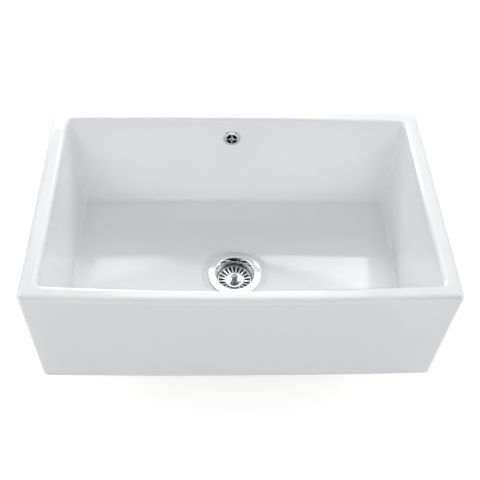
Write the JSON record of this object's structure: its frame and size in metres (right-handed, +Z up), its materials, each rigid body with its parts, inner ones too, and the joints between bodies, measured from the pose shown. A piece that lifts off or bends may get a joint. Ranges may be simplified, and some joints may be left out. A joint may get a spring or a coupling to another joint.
{
  "type": "farmhouse apron front sink",
  "caption": "Deep rectangular fireclay kitchen sink with a bowed apron front, a lift-out basket strainer waste with a push-pull stopper, and a piped overflow.",
  "frame": {"origin": "on the waste axis, in the plane of the lands under the base that the cabinet's support carries", "axes": "+X to the right as one stands at the sink, +Y towards the wall behind it, +Z up"},
  "size_m": [0.762, 0.5324, 0.368],
  "materials": {
    "fireclay": "gloss",
    "polished_steel": "polished",
    "plain_steel": "satin",
    "brass": "satin",
    "black_rubber": "matte",
    "foam": "matte",
    "white_plastic": "satin",
    "hose_plastic": "satin",
    "nylon": "satin"
  },
  "bodies": {
    "sink": {"sink_body": "fireclay", "strainer_cup": "polished_steel", "flange_seal": "black_rubber", "waste_gasket": "black_rubber", "waste_body": "white_plastic", "waste_insert": "brass", "fixing_screw": "plain_steel", "overflow_cover": "polished_steel", "overflow_screw": "polished_steel", "overflow_gasket": "black_rubber", "overflow_washer": "foam", "overflow_elbow": "white_plastic", "overflow_insert": "brass", "overflow_hose": "hose_plastic", "upper_hose_nut": "white_plastic", "lower_hose_nut": "white_plastic", "upper_hose_seal": "black_rubber", "lower_hose_seal": "black_rubber"},
    "basket_carrier": {"basket_bush": "nylon"},
    "basket": {"basket_shell": "polished_steel"},
    "stopper": {"knob": "polished_steel", "stem": "plain_steel", "stopper_seal": "black_rubber", "seal_washer": "plain_steel", "stem_nut": "plain_steel"}
  },
  "joints": [
    {"name": "basket_lift", "type": "slide", "parent": "sink", "child": "basket_carrier", "axis": [0, 0, 1], "range_m": [0, 0.3]},
    {"name": "basket_spin", "type": "hinge", "parent": "basket_carrier", "child": "basket", "pos_m": [0, 0, 0.0107], "axis": [0, 0, 1], "continuous": true},
    {"name": "stopper_lift", "type": "slide", "parent": "basket_carrier", "child": "stopper", "axis": [0, 0, 1], "range_m": [0, 0.008]}
  ]
}
